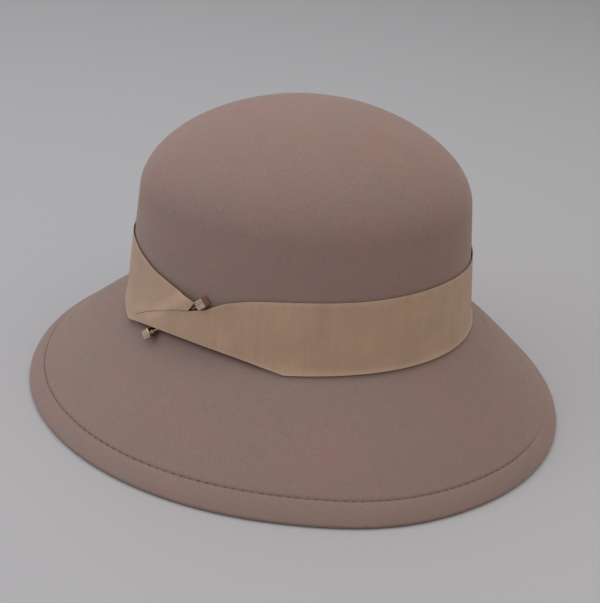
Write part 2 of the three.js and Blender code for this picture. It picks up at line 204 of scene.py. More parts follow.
@dataclass(frozen=True)
class HatForm:
    """The hat's ruling shape, with the same sizes and formulas as the CAD source."""

    crown_length: float = 196.8 * MM
    crown_width: float = 167.8 * MM
    crown_squareness: float = 2.12
    crown_height: float = 117.9 * MM
    wall_height: float = 71.2 * MM
    taper: float = 0.138
    fullness: float = 0.005
    round_along: float = 1.86
    round_across: float = 2.05
    lean: float = 2.1
    forward: float = 2.5 * MM
    break_height: float = 52.1 * MM
    brim_length: float = 313 * MM
    brim_width: float = 276.5 * MM
    brim_squareness: float = 2.06
    bulge_mean: float = 2.5 * MM
    bulge_back: float = 0.7 * MM
    bulge_sides: float = 1.2 * MM
    flare_leg: float = 6 * MM
    flare_fill: float = 1.7 * MM
    wave_azimuth: float = 24
    wave_spread: float = 15
    wave_push: float = 1.5 * MM
    felt_wall: float = 2.2 * MM
    hem_thickness: float = 4.2 * MM
    hem_width: float = 10 * MM
    stitch_pitch: float = 4.6 * MM
    edge_slope: float = 37
    rest_half_angle: float = 25
    upper_cube: Triple = (-31.7, 33.3 * MM, 3.15 * MM)
    lower_cube: Triple = (-51.9, 4.15 * MM, 4 * MM)

    def oval(self, azimuth: Points, width: float, length: float, squareness: float) -> Points:
        """Radius of a squared oval.

        Args:
            azimuth: where round it.
            width: its size along X.
            length: its size along Y.
            squareness: its exponent, 2 for an ellipse.

        Returns:
            The radius at each azimuth.
        """
        turn = np.radians(azimuth)
        across = np.abs(np.cos(turn) / (width / 2)) ** squareness
        along = np.abs(np.sin(turn) / (length / 2)) ** squareness
        return (across + along) ** (-1 / squareness)

    def crown_share(self, azimuth: Points, height: Points) -> Points:
        """Share of the crown's base width that is left at a height."""
        level = np.clip(height / self.crown_height, 0, 1)
        run = self.crown_height - self.wall_height
        dome = np.clip((height - self.wall_height) / run, 0, 1)
        wall = (1 - self.taper * level) * (1 + self.fullness * 4 * level * (1 - level))
        lengthwise = np.sin(np.radians(azimuth)) ** 2
        roundness = self.round_across + (self.round_along - self.round_across) * lengthwise
        return wall * (1 - dome**roundness) ** (1 / roundness)

    def dome_height(self, swing: float) -> float:
        """Height up the crown where an arm has swung down from the dome's top by an angle."""
        return self.wall_height + (self.crown_height - self.wall_height) * math.cos(swing)

    def crown_point(
        self, azimuth: Points, height: Points | float, offset: Points | float = 0.0
    ) -> Points:
        """Points on or beside the crown.

        Args:
            azimuth: where round the crown.
            height: how far up it.
            offset: how far off its outer face.

        Returns:
            Points along the last axis.
        """
        azimuth, height, offset = np.broadcast_arrays(azimuth, height, offset)
        radius = self.oval(azimuth, self.crown_width, self.crown_length, self.crown_squareness)
        radius = radius * self.crown_share(azimuth, height) + offset
        turn, lean = np.radians(azimuth), math.radians(self.lean)
        x, y = radius * np.cos(turn), radius * np.sin(turn)
        leant_y = math.cos(lean) * y - math.sin(lean) * height - self.forward
        leant_z = math.sin(lean) * y + math.cos(lean) * height + self.break_height
        return np.stack([x, leant_y, leant_z], axis=-1)

    def edge_radius(self, azimuth: Points) -> Points:
        """Radius of the brim's edge."""
        away = ((azimuth - self.wave_azimuth + 180) % 360 - 180) / self.wave_spread
        oval = self.oval(azimuth, self.brim_width, self.brim_length, self.brim_squareness)
        return oval + self.wave_push * np.exp(-(away**2))

    def fold_point(self, azimuth: Points, slope: float) -> Points:
        """Points on the round fold of the brim's edge, at an angle above level."""
        radius = self.hem_thickness / 2
        out = self.edge_radius(azimuth) - radius + radius * math.cos(math.radians(slope))
        rest = math.cos(math.radians(self.rest_half_angle))
        up = radius * (rest + math.sin(math.radians(slope)))
        turn = np.radians(azimuth)
        return np.stack([out * np.cos(turn), out * np.sin(turn), np.full_like(out, up)], axis=-1)

    def brim_run(self, azimuth: Points) -> Points:
        """Length of the brim's straight slope from the break to the fold."""
        span = self.fold_point(azimuth, self.edge_slope) - self.crown_point(azimuth, 0.0)
        return np.linalg.norm(span, axis=-1)

    def brim_point(self, azimuth: Points, share: Points | float) -> Points:
        """Points on the bell of the brim, from 0 at the break to 1 at the fold."""
        share = np.broadcast_to(share, np.shape(azimuth))[..., None]
        start = self.crown_point(azimuth, 0.0)
        point = start + (self.fold_point(azimuth, self.edge_slope) - start) * share
        turn = np.radians(azimuth)
        bulge = self.bulge_mean + self.bulge_back * np.sin(turn)
        bulge += self.bulge_sides * np.cos(2 * turn)
        point[..., 2] += bulge * (4 * share * (1 - share))[..., 0]
        return point

    def brim_from_edge(self, azimuth: Points, distance: Points | float) -> Points:
        """Points on the brim at a distance up the slope from its fold."""
        return self.brim_point(azimuth, 1 - distance / self.brim_run(azimuth))

    def flare_point(self, azimuth: Points, share: float) -> Points:
        """Points on the soft bend, from 0 on the crown's wall to 1 on the brim."""
        first = self.crown_point(azimuth, self.flare_leg)
        middle = self.crown_point(azimuth, 0.0)
        last = self.brim_point(azimuth, self.flare_leg / self.brim_run(azimuth))
        return (1 - share) ** 2 * first + 2 * share * (1 - share) * middle + share**2 * last

    def flare_at(self, height: Points | float) -> Points:
        """How far the soft bend stands outside the straight wall at a height."""
        return self.flare_fill * np.clip(1 - height / self.flare_leg, 0, 1) ** 2


def grid_mesh(name: str, rows: Points, poles: tuple[Points, Points] | None) -> Mesh:
    """Makes a smooth mesh from rows of points that run round the hat.

    Args:
        name: name of the mesh.
        rows: points by row and column. The last column joins the first.
        poles: points that close the first and the last row, if any.

    Returns:
        The mesh.
    """
    count, columns = rows.shape[:2]
    index = np.arange(count * columns).reshape(count, columns)
    after = np.roll(index, -1, axis=1)
    quads = np.stack([index[:-1], index[1:], after[1:], after[:-1]], axis=-1).reshape(-1, 4)
    points, faces = rows.reshape(-1, 3).tolist(), quads.tolist()
    if poles is not None:
        first, last = len(points), len(points) + 1
        points += [poles[0].tolist(), poles[1].tolist()]
        faces += [[first, a, b] for a, b in zip(index[0].tolist(), after[0].tolist())]
        faces += [[a, last, b] for a, b in zip(index[-1].tolist(), after[-1].tolist())]
    mesh = bpy.data.meshes.new(name)
    mesh.from_pydata(points, [], faces)
    mesh.shade_smooth()
    return mesh


def outward(rows: Points, first: Points) -> Points:
    """Directions straight out of a grid of points.

    Args:
        rows: points by row and column, from the top down.
        first: the point above the first row.

    Returns:
        Unit vectors in the grid's shape.
    """
    above = np.concatenate([np.broadcast_to(first, rows[:1].shape), rows[:-1]])
    below = np.concatenate([rows[1:], rows[-1:]])
    sideways = np.roll(rows, -1, axis=1) - np.roll(rows, 1, axis=1)
    normal = np.cross(below - above, sideways)
    return normal / np.linalg.norm(normal, axis=-1, keepdims=True)


def place(name: str, mesh: Mesh, material: Material) -> Object:
    """Links a mesh into the scene as an object with one material."""
    mesh.materials.clear()
    mesh.materials.append(material)
    piece = bpy.data.objects.new(name, mesh)
    bpy.context.scene.collection.objects.link(piece)
    return piece


def freeze(piece: Object) -> Object:
    """Turns a piece's modifiers into plain mesh.

    Args:
        piece: object with live modifiers.

    Returns:
        The same object, without them.
    """
    bpy.context.view_layer.update()
    graph = bpy.context.evaluated_depsgraph_get()
    mesh = bpy.data.meshes.new_from_object(piece.evaluated_get(graph), depsgraph=graph)
    before = piece.data
    piece.modifiers.clear()
    piece.data = mesh
    bpy.data.meshes.remove(before)
    mesh.name = piece.name
    return piece


def grow(piece: Object, tree: NodeTree, values: dict[str, float | int]) -> Object:
    """Runs a Geometry Nodes tree on a piece and keeps the result as plain mesh.

    Args:
        piece: object whose mesh the tree starts from.
        tree: the tree, ending in Realize Instances and Set Material.
        values: sizes by the tree's input names.

    Returns:
        The same object with the grown mesh.
    """
    modifier = piece.modifiers.new(tree.name, "NODES")
    modifier.node_group = tree
    sockets = {item.name: item.identifier for item in tree.interface.items_tree}
    for name, value in values.items():
        modifier[sockets[name]] = value
    return freeze(piece)


def hand_over(piece: Object, slot: Slot, *nodes: str) -> Object:
    """Gives a piece to the frame.

    Args:
        piece: finished object.
        slot: material slot of the record; not used.
        nodes: CAD nodes that it stands for.

    Returns:
        The piece.
    """
    if nodes:
        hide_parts(*nodes)
    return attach(piece, "root")


@dataclass(frozen=True)
class WoolFelt:
    """Wool felt, blocked and lightly brushed: dead matt, with a soft rim of standing nap."""

    name: str = "wool_felt"
    ground: str = "907a72"
    rosy: str = "96766f"
    grey: str = "887971"
    # dark brown of the painted shade
    dark: str = "4c3833"
    nap: str = "e2d2cb"
    mottle_size: float = 34 * MM
    cloud_size: float = 9 * MM
    fibre_size: float = 0.9 * MM
    cloud_relief: float = 0.6 * MM
    fibre_relief: float = 0.25 * MM
    # heights over which the painted warm light, partly handling, turns the felt rosier
    grey_below: float = 70 * MM
    rosy_above: float = 110 * MM

    def make(self) -> Material:
        """Makes the material: mottled ground, fibre grain in colour and relief, and sheen."""
        material, add, shader = new_material(self.name)
        place_at = add("ShaderNodeTexCoord").outputs["Object"]
        mottle = add("ShaderNodeTexNoise", {
            "Vector": place_at, "Scale": 1 / self.mottle_size, "Detail": 3.0, "Roughness": 0.55,
        })
        cloud = add("ShaderNodeTexNoise", {
            "Vector": place_at, "Scale": 1 / self.cloud_size, "Detail": 4.0, "Roughness": 0.6,
            "Distortion": 0.4,
        })
        # wool fibres are 0.02 mm thick, so the grain is drawn at the clumps that the eye sees
        fibre = add("ShaderNodeTexNoise", {
            "Vector": place_at, "Scale": 1 / self.fibre_size, "Detail": 5.0, "Roughness": 0.7,
            "Distortion": 1.2,
        })
        spread = add("ShaderNodeMapRange", {"Value": mottle, "From Min": 0.22, "From Max": 0.78})
        height = add("ShaderNodeSeparateXYZ", {0: place_at}).outputs["Z"]
        # painted warm light, partly real handling too: the felt turns a little rosier towards the
        # crown's top
        handled = add("ShaderNodeMapRange", {
            "Value": height, "From Min": self.grey_below, "From Max": self.rosy_above,
            "To Min": -0.1, "To Max": 0.1,
        })
        rosier = add("ShaderNodeMath", {0: spread, 1: handled}, operation="ADD", use_clamp=True)
        ground = add("ShaderNodeMix", {
            "Factor": rosier, "A": linear(self.grey), "B": linear(self.rosy),
        }, data_type="RGBA")
        clouds = add("ShaderNodeMapRange", {
            "Value": cloud, "From Min": 0.3, "From Max": 0.7, "To Min": 0.1, "To Max": 0.6,
        })
        softened = add("ShaderNodeMix", {
            "Factor": clouds, "A": ground, "B": linear(self.ground),
        }, data_type="RGBA")
        grain = add("ShaderNodeMapRange", {
            "Value": fibre, "From Min": 0.25, "From Max": 0.75, "To Min": 0.83, "To Max": 1.17,
        })
        grained = add("ShaderNodeVectorMath", {0: softened, "Scale": grain}, operation="SCALE")
        # painted shade: the in_shade attribute mixes the felt towards the dark colour, in the
        # groove, under the ribbon and under the fold
        crease = add("ShaderNodeAttribute", attribute_name="in_shade").outputs["Fac"]
        shaded = add("ShaderNodeMix", {
            "Factor": crease, "A": grained, "B": linear(self.dark),
        }, data_type="RGBA")
        bump = add("ShaderNodeBump", {
            "Strength": 0.55, "Distance": self.fibre_relief, "Height": fibre,
        })
        soft_bump = add("ShaderNodeBump", {
            "Strength": 0.35, "Distance": self.cloud_relief, "Height": cloud, "Normal": bump,
        })
        feed(shader, {
            "Base Color": shaded, "Normal": soft_bump, "Roughness": 0.95,
            "Specular IOR Level": 0.15, "Sheen Weight": 0.35, "Sheen Roughness": 0.45,
            "Sheen Tint": linear(self.nap),
        })
        return material


@dataclass(frozen=True)
class FleckedFibre:
    """Matt fibre of one colour, lighter and darker from one fleck to the next."""

    name: str
    colour: str
    fleck_size: float
    detail: float
    noise_span: tuple[float, float]
    shade_span: tuple[float, float]
    roughness: float
    specular: float

    def make(self) -> Material:
        """Makes the material: lighter and darker flecks side by side, all matt."""
        material, add, shader = new_material(self.name)
        place_at = add("ShaderNodeTexCoord").outputs["Object"]
        fleck = add("ShaderNodeTexNoise", {
            "Vector": place_at, "Scale": 1 / self.fleck_size, "Detail": self.detail,
        })
        shade = add("ShaderNodeMapRange", {
            "Value": fleck, "From Min": self.noise_span[0], "From Max": self.noise_span[1],
            "To Min": self.shade_span[0], "To Max": self.shade_span[1],
        })
        colour = add("ShaderNodeVectorMath", {
            0: linear(self.colour)[:3], "Scale": shade,
        }, operation="SCALE")
        feed(shader, {
            "Base Color": colour, "Roughness": self.roughness, "Specular IOR Level": self.specular,
        })
        return material


@dataclass(frozen=True)
class Thread(FleckedFibre):
    """Spun cotton sewing thread in the felt's own shade: a fine line sunk in the nap."""

    name: str = "cotton_thread"
    colour: str = "4a3a35"
    fleck_size: float = 0.4 * MM
    detail: float = 2.0
    noise_span: tuple[float, float] = (0.0, 1.0)
    shade_span: tuple[float, float] = (0.7, 1.3)
    roughness: float = 0.8
    specular: float = 0.5


@dataclass(frozen=True)
class LooseWool(FleckedFibre):
    """Single wool fibres, paler than the felt's ground: they break up its flat colour."""

    name: str = "loose_wool_fibre"
    colour: str = "b39c91"
    fleck_size: float = 3 * MM
    detail: float = 1.0
    noise_span: tuple[float, float] = (0.35, 0.65)
    shade_span: tuple[float, float] = (0.6, 1.15)
    roughness: float = 0.9
    specular: float = 0.1


@dataclass(frozen=True)
class Grosgrain:
    """Woven grosgrain ribbon: a dull satin face with fine ribs from edge to edge."""

    name: str = "grosgrain_ribbon"
    warp: str = "b3957d"
    groove: str = "846a57"
    edge: str = "b99d88"
    # painted shade: dark brown of the ribbon's thin side, for the shadow line along its edges
    side: str = "4f3c31"
    weft_size: float = 0.55 * MM
    uneven_size: float = 16 * MM
    rib_relief: float = 0.1 * MM
    weft_relief: float = 0.08 * MM
    streaks: Triple = (0.5, 8.0, 1.0)

    def make(self) -> Material:
        """Makes the material: ribs that follow the ribbon's own length, read from its UV map.

        The map's U counts ribs along the ribbon and its V is metres up from the lower edge.
        """
        material, add, shader = new_material(self.name)
        woven = add("ShaderNodeUVMap", uv_map="ribs")
        count = add("ShaderNodeSeparateXYZ", {0: woven}).outputs["X"]
        turn = add("ShaderNodeMath", {0: count, 1: 2 * math.pi}, operation="MULTIPLY")
        wave = add("ShaderNodeMath", {0: turn}, operation="COSINE")
        rib = add("ShaderNodeMapRange", {
            "Value": wave, "From Min": -1.0, "From Max": 0.6,
        }, interpolation_type="SMOOTHSTEP")
        place_at = add("ShaderNodeTexCoord").outputs["Object"]
        uneven = add("ShaderNodeTexNoise", {
            "Vector": place_at, "Scale": 1 / self.uneven_size, "Detail": 3.0,
        })
        weft = add("ShaderNodeTexNoise", {
            "Vector": place_at, "Scale": 1 / self.weft_size, "Detail": 3.0, "Roughness": 0.6,
        })
        streak_at = add("ShaderNodeVectorMath", {0: woven, 1: self.streaks}, operation="MULTIPLY")
        streak = add("ShaderNodeTexNoise", {
            "Vector": streak_at, "Scale": 1.0, "Detail": 3.0, "Roughness": 0.7,
        })
        # painted shade: the valleys between ribs are mixed up to a tenth towards the darker groove
        # colour
        depth = add("ShaderNodeMapRange", {"Value": rib, "To Min": 0.1, "To Max": 0.0})
        face = add("ShaderNodeMix", {
            "Factor": depth, "A": linear(self.warp), "B": linear(self.groove),
        }, data_type="RGBA")
        selvedge = add("ShaderNodeAttribute", attribute_name="selvedge")
        colour = add("ShaderNodeMix", {
            "Factor": selvedge.outputs["Fac"], "A": face, "B": linear(self.edge),
        }, data_type="RGBA")
        # wear, single threads and streaks each lighten and darken the cloth by a few percent
        shades = ((uneven, 0.3, 0.07), (weft, 0.25, 0.07), (streak, 0.3, 0.035))
        for pattern, start, swing in shades:
            shade = add("ShaderNodeMapRange", {
                "Value": pattern, "From Min": start, "From Max": 1 - start, "To Min": 1 - swing,
                "To Max": 1 + swing,
            })
            colour = add("ShaderNodeVectorMath", {0: colour, "Scale": shade}, operation="SCALE")
        ribs = add("ShaderNodeBump", {"Strength": 0.25, "Distance": self.rib_relief, "Height": rib})
        threads = add("ShaderNodeBump", {
            "Strength": 0.4, "Distance": self.weft_relief, "Height": weft, "Normal": ribs,
        })
        feed(shader, {
            "Base Color": colour, "Normal": threads, "Roughness": 0.6, "Specular IOR Level": 0.3,
            "Sheen Weight": 0.12, "Sheen Roughness": 0.5,
        })
        return material

    def make_cut_edge(self) -> Material:
        """Makes the material of the ribbon's thin side: painted shade, dark brown flecked with
        thread noise, for the shadow line along its edges.
        """
        material, add, shader = new_material("grosgrain_side")
        place_at = add("ShaderNodeTexCoord").outputs["Object"]
        thread = add("ShaderNodeTexNoise", {
            "Vector": place_at, "Scale": 1 / self.weft_size, "Detail": 2.0,
        })
        colour = add("ShaderNodeMix", {
            "Factor": thread, "A": linear(self.side), "B": linear(self.groove),
        }, data_type="RGBA")
        feed(shader, {"Base Color": colour, "Roughness": 0.85})
        return material


@dataclass(frozen=True)
class PlatedBrass:
    """Brass with a pale gold plate, polished: bright edges and dark mirrored faces."""

    name: str = "gold_plated_brass"
    plate: str = "dcc7ae"
    dull: str = "b0927c"
    handled_size: float = 2.5 * MM
    hairline_size: float = 0.35 * MM
    hairline_relief: float = 0.05 * MM

    def make(self) -> Material:
        """Makes the material: a mirror with hairline scratches and duller handled patches."""
        material, add, shader = new_material(self.name)
        place_at = add("ShaderNodeTexCoord").outputs["Object"]
        handled = add("ShaderNodeTexNoise", {
            "Vector": place_at, "Scale": 1 / self.handled_size, "Detail": 3.0,
        })
        hairline = add("ShaderNodeTexNoise", {
            "Vector": place_at, "Scale": 1 / self.hairline_size, "Detail": 2.0,
        })
        patch = add("ShaderNodeMapRange", {"Value": handled, "From Min": 0.4, "From Max": 0.7})
        colour = add("ShaderNodeMix", {
            "Factor": patch, "A": linear(self.plate), "B": linear(self.dull),
        }, data_type="RGBA")
        rough = add("ShaderNodeMapRange", {"Value": patch, "To Min": 0.2, "To Max": 0.38})
        relief = add("ShaderNodeBump", {
            "Strength": 0.15, "Distance": self.hairline_relief, "Height": hairline,
        })
        feed(shader, {"Base Color": colour, "Roughness": rough, "Normal": relief, "Metallic": 1.0})
        return material


@dataclass
class FeltBody:
    """Crown and brim blocked in one felt, with the brim's edge folded under and stitched.

    Rows of the hem are in millimetres up from the fold.
    """

    form: HatForm
    shadow_line: Callable[[Points], Points]
    finish: WoolFelt = field(default_factory=WoolFelt)
    columns: int = 480
    dome_rows: int = 28
    wall_rows: int = 40
    flare_rows: int = 7
    bell_rows: int = 24
    hem_start: float = 14
    hem_rows: tuple[float, ...] = (
        13, 12.1, 11.4, 10.9, 10.5, 10.2, 10, 9.8, 9.5, 9.1, 8.5, 7.5, 6.2, 4.8, 3.2, 1.6, 0,
    )
    fold_slopes: tuple[float, ...] = (25, 12, 0, -14, -30, -48, -65, -115, -130)
    under_rows: tuple[float, ...] = (2.5, 5, 7.5, 9.4, 10)
    under_end: float = 10.7
    stitch_depth: float = 0.6 * MM
    stitch_reach: float = 0.8 * MM
    stitch_pull: float = 0.75
    hem_puff: float = 0.45 * MM
    unevenness: float = 0.3 * MM
    broad_marks_per_metre: float = 17.0
    small_marks_per_metre: float = 46.0
    small_marks_share: float = 0.45
    crown_calm: float = 0.8
    pressed_by_ribbon: tuple[float, float] = (-4 * MM, 48 * MM)
    slack_centre: float = -15
    slack_half_width: float = 72
    slack_fade: float = 22
    slack_loss: float = 0.85
    groove_shade: float = 0.4
    groove_shade_reach: float = 0.4 * MM
    # painted shade on the underside of the brim's fold
    soil_shade: float = 0.75
    soil_from: float = -8
    soil_over: float = 40
    bell_pitch: float = 2.3 * MM
    ribbon_shade: float = 0.85
    ribbon_shade_fade: float = 2.4 * MM
    ribbon_shade_above: float = 2
    low_edge: float = -1 * MM
    low_edge_run: float = 5 * MM
    low_edge_shade: float = 0.3

    def wall_heights(self) -> Points:
        """Heights of the wall's rows, from under the dome down to the soft bend."""
        run = self.form.wall_height - self.form.flare_leg
        return self.form.wall_height - run * np.arange(1, self.wall_rows + 1) / self.wall_rows

    def outer_rows(self) -> Points:
        """Rows of the outer face from the top of the dome down to the fold."""
        form, azimuth = self.form, ring(self.columns)
        swings = [math.radians(90 * row / self.dome_rows) for row in range(1, self.dome_rows + 1)]
        rows = [form.crown_point(azimuth, form.dome_height(swing)) for swing in swings]
        rows += [form.crown_point(azimuth, height) for height in self.wall_heights()]
        shares = np.arange(1, self.flare_rows + 1) / self.flare_rows
        rows += [form.flare_point(azimuth, share) for share in shares]
        top = form.flare_leg / form.brim_run(azimuth)
        bottom = 1 - self.hem_start * MM / form.brim_run(azimuth)
        for row in range(1, self.bell_rows + 1):
            rows.append(form.brim_point(azimuth, top + (bottom - top) * row / self.bell_rows))
        rows += [form.brim_from_edge(azimuth, distance * MM) for distance in self.hem_rows]
        return np.stack(rows)

    def worn(self, point: Points) -> float:
        """How far blocking by hand lifts the felt at a point."""
        broad = noise.noise(Vector(point * self.broad_marks_per_metre))
        small = noise.noise(Vector(point * self.small_marks_per_metre + 7.0))
        return self.unevenness * (broad + self.small_marks_share * small)

    def relief(self, rows: Points) -> Points:
        """Small lifts of the outer face: blocking marks, the stitched groove and the hem's puff.

        Args:
            rows: the outer face's points by row and column.

        Returns:
            Lift along the outward direction for each point.
        """
        flat, azimuth = rows.reshape(-1, 3), ring(self.columns)
        lift = np.array([self.worn(point) for point in flat]).reshape(rows.shape[:2])
        height = rows[:, :, 2] - self.form.break_height
        low, high = self.pressed_by_ribbon
        lift = np.where((height > low) & (height < high), np.minimum(lift, 0), lift)
        lift[:self.dome_rows + self.wall_rows] *= self.crown_calm
        perimeter = 2 * math.pi * (self.form.brim_length + self.form.brim_width) / 4
        stitches = round(perimeter / self.form.stitch_pitch)
        waves = (1 - self.stitch_pull) * np.cos(np.radians(azimuth) * stitches)
        pull = (self.stitch_pull + waves) * self.slackness(azimuth)
        for row, distance in enumerate(self.hem_rows, start=len(rows) - len(self.hem_rows)):
            run = distance * MM
            groove = math.exp(-(((run - self.form.hem_width) / self.stitch_reach) ** 2))
            share = min(max(run / self.form.hem_width, 0), 1)
            puff = self.hem_puff * 4 * share * (1 - share)
            lift[row] += puff - self.stitch_depth * groove * pull
        lift[-1] = 0
        return lift

    def build(self) -> Object:
        """Builds the felt as one closed shell with its true hollow.

        Returns:
            The felt's object.
        """
        form, azimuth = self.form, ring(self.columns)
        base = self.outer_rows()
        top = form.crown_point(np.array(0.0), form.crown_height)
        out = outward(base, top)
        lifted = base + out * self.relief(base)[..., None]
        fold = np.stack([form.fold_point(azimuth, slope) for slope in self.fold_slopes])
        under = [form.fold_point(azimuth, form.edge_slope - 180)]
        for distance in self.under_rows:
            under.append(self.behind(base, out, distance, form.hem_thickness))
        under.append(self.behind(base, out, self.under_end, form.felt_wall))
        last_bell = len(base) - len(self.hem_rows) - 1
        inner = [base[row] - out[row] * form.felt_wall for row in range(last_bell, -1, -2)]
        rows = np.concatenate([lifted, fold, np.stack(under + inner)])
        lean = math.radians(form.lean)
        up = np.array([0.0, -math.sin(lean), math.cos(lean)])
        mesh = grid_mesh("felt_hat", rows, (top, top - up * form.felt_wall))
        self.mark_shade(mesh, len(base))
        return place("felt_hat", mesh, self.finish.make())

    def behind(self, base: Points, out: Points, distance: float, thickness: float) -> Points:
        """Points under the brim, behind the outer face.

        Args:
            base: the outer face's points by row and column.
            out: the directions out of it.
            distance: how far up from the fold, in millimetres.
            thickness: how far behind the face.

        Returns:
            One row of points.
        """
        hem = np.array([self.hem_start, *self.hem_rows])
        after = min(max(int(np.searchsorted(-hem, -distance)), 1), len(hem) - 1)
        share = (hem[after - 1] - distance) / (hem[after - 1] - hem[after])
        below = len(base) - len(hem) + after
        point = base[below - 1] + (base[below] - base[below - 1]) * share
        return point - out[below] * thickness

    def mark_shade(self, mesh: Mesh, outer_rows: int) -> None:
        """Marks painted shade as darker felt: in the groove, below the ribbon's lower edge, and on
        the fold's underside.

        Args:
            mesh: the felt's mesh.
            outer_rows: number of rows in its outer face.
        """
        values = np.zeros((len(mesh.vertices) // self.columns, self.columns), np.float32)
        slack = self.slackness(ring(self.columns))
        for row, distance in enumerate(self.hem_rows, start=outer_rows - len(self.hem_rows)):
            away = (distance * MM - self.form.hem_width) / self.groove_shade_reach
            values[row] = self.groove_shade * math.exp(-(away**2)) * slack
        # painted shade: the fold's underside is coloured darker the further it turns under, where
        # little light reaches
        for row, slope in enumerate(self.fold_slopes, start=outer_rows):
            turned = min(max((self.soil_from - slope) / self.soil_over, 0), 1)
            values[row] = self.soil_shade * turned
        values[self.dome_rows:outer_rows] += self.under_ribbon(outer_rows)
        padded = np.zeros(len(mesh.vertices), np.float32)
        padded[:values.size] = values.ravel()
        shade = mesh.attributes.new("in_shade", "FLOAT", "POINT")
        shade.data.foreach_set("value", padded)

    def under_ribbon(self, outer_rows: int) -> Points:
        """Shade that the ribbon's lower edge leaves on the felt below it, by row and column."""
        leg = self.form.flare_leg
        bend = leg * (1 - 2 * np.arange(1, self.flare_rows + 1) / self.flare_rows)
        bell = -leg - np.arange(1, outer_rows) * self.bell_pitch
        height = np.concatenate([self.wall_heights(), bend, bell])
        height = height[:outer_rows - self.dome_rows, None]
        lower = self.shadow_line((ring(self.columns) + 180) % 360 - 180)
        under = (lower - height) / self.ribbon_shade_fade
        reach = np.clip((lower - self.low_edge) / self.low_edge_run, self.low_edge_shade, 1)
        shade = self.ribbon_shade * reach * np.exp(-np.clip(under, 0, None) ** 2)
        return shade * (under > -self.ribbon_shade_above)

    def slackness(self, azimuth: Points) -> Points:
        """Share of the groove that shows: it is pulled less deep away from the pin's side."""
        away = np.abs((azimuth - self.slack_centre + 180) % 360 - 180)
        return 1 - self.slack_loss * smooth_step((away - self.slack_half_width) / self.slack_fade)


@dataclass
class StandingNap:
    """Loose wool fibres that lie on the felt and catch the light as short pale streaks."""

    form: HatForm
    finish: LooseWool = field(default_factory=LooseWool)
    per_square_metre: float = 78000.0
    fibre_half_length: float = 3.2 * MM
    fibre_radius: float = 0.08 * MM
    shortest: float = 0.25
    longest: float = 0.6
    steepest: float = 1.42
    flattest: float = 1.6
    rise: float = 0.15 * MM
    seed: int = 11
    columns: int = 180
    dome_rows: int = 18
    wall_rows: int = 6
    brim_rows: int = 15
    dome_start: float = 4
    ribbon_top: float = 46 * MM
    break_margin: float = 13 * MM
    hem_margin: float = 12 * MM

    def strew(self, piece: Object, material: Material) -> Object:
        """Strews fibres over a piece with Geometry Nodes.

        Args:
            piece: object whose faces the fibres lie on.
            material: the fibres' finish.

        Returns:
            The same object, as fibres alone.
        """
        values = {
            "Per Square Metre": self.per_square_metre, "Half Length": self.fibre_half_length,
            "Fibre Radius": self.fibre_radius, "Seed": self.seed,
        }
        tree, add, sizes = start_tree("strew_fibres", values)
        spots = add("GeometryNodeDistributePointsOnFaces", {
            "Mesh": sizes["Bed"], "Density": sizes["Per Square Metre"], "Seed": sizes["Seed"],
        })
        spindle = add("GeometryNodeMeshUVSphere", {"Segments": 3, "Rings": 3, "Radius": 1.0})
        shape = add("ShaderNodeCombineXYZ", {
            "X": sizes["Fibre Radius"], "Y": sizes["Fibre Radius"], "Z": sizes["Half Length"],
        })
        fibre = add("GeometryNodeTransform", {"Geometry": spindle, "Scale": shape})
        turn = add("FunctionNodeRandomValue", {
            "Min": (self.steepest, 0.0, 0.0), "Max": (self.flattest, 0.0, 2 * math.pi),
            "Seed": sizes["Seed"],
        }, data_type="FLOAT_VECTOR")
        lying = add("FunctionNodeEulerToRotation", {"Euler": turn})
        turned = add("FunctionNodeRotateRotation", {
            "Rotation": spots.outputs["Rotation"], "Rotate By": lying,
        }, rotation_space="LOCAL")
        length = add("FunctionNodeRandomValue", {
            "Min": self.shortest, "Max": self.longest, "Seed": sizes["Seed"],
        }, data_type="FLOAT")
        strewn = add("GeometryNodeInstanceOnPoints", {
            "Points": spots, "Instance": fibre, "Rotation": turned, "Scale": length,
        })
        end_tree(tree, strewn, material)
        return grow(piece, tree, values)

    def crown_bed(self) -> Points:
        """Rows of the crown's outer face above the ribbon, where fibres lie."""
        form, azimuth = self.form, ring(self.columns)
        swings = np.radians(np.linspace(self.dome_start, 90, self.dome_rows))
        heights = [form.dome_height(swing) for swing in swings]
        heights += list(np.linspace(form.wall_height, self.ribbon_top, self.wall_rows)[1:])
        return np.stack([form.crown_point(azimuth, height, self.rise) for height in heights])

    def brim_bed(self) -> Points:
        """Rows of the brim's outer face between the ribbon and the stitches."""
        form, azimuth = self.form, ring(self.columns)
        run = form.brim_run(azimuth)
        lift = np.array([0.0, 0.0, self.rise])
        first, last, steps = self.break_margin / run, 1 - self.hem_margin / run, self.brim_rows - 1
        shares = [first + (last - first) * step / steps for step in range(self.brim_rows)]
        return np.stack([form.brim_point(azimuth, share) + lift for share in shares])

    def build(self) -> Object:
        """Strews the fibres over the crown and the brim.

        Returns:
            The fibres as one object.
        """
        sheet = bmesh.new()
        for rows in (self.crown_bed(), self.brim_bed()):
            part = grid_mesh("nap_bed", rows, None)
            sheet.from_mesh(part)
            bpy.data.meshes.remove(part)
        mesh = bpy.data.meshes.new("felt_nap")
        sheet.to_mesh(mesh)
        sheet.free()
        material = self.finish.make()
        return self.strew(place("felt_nap", mesh, material), material)


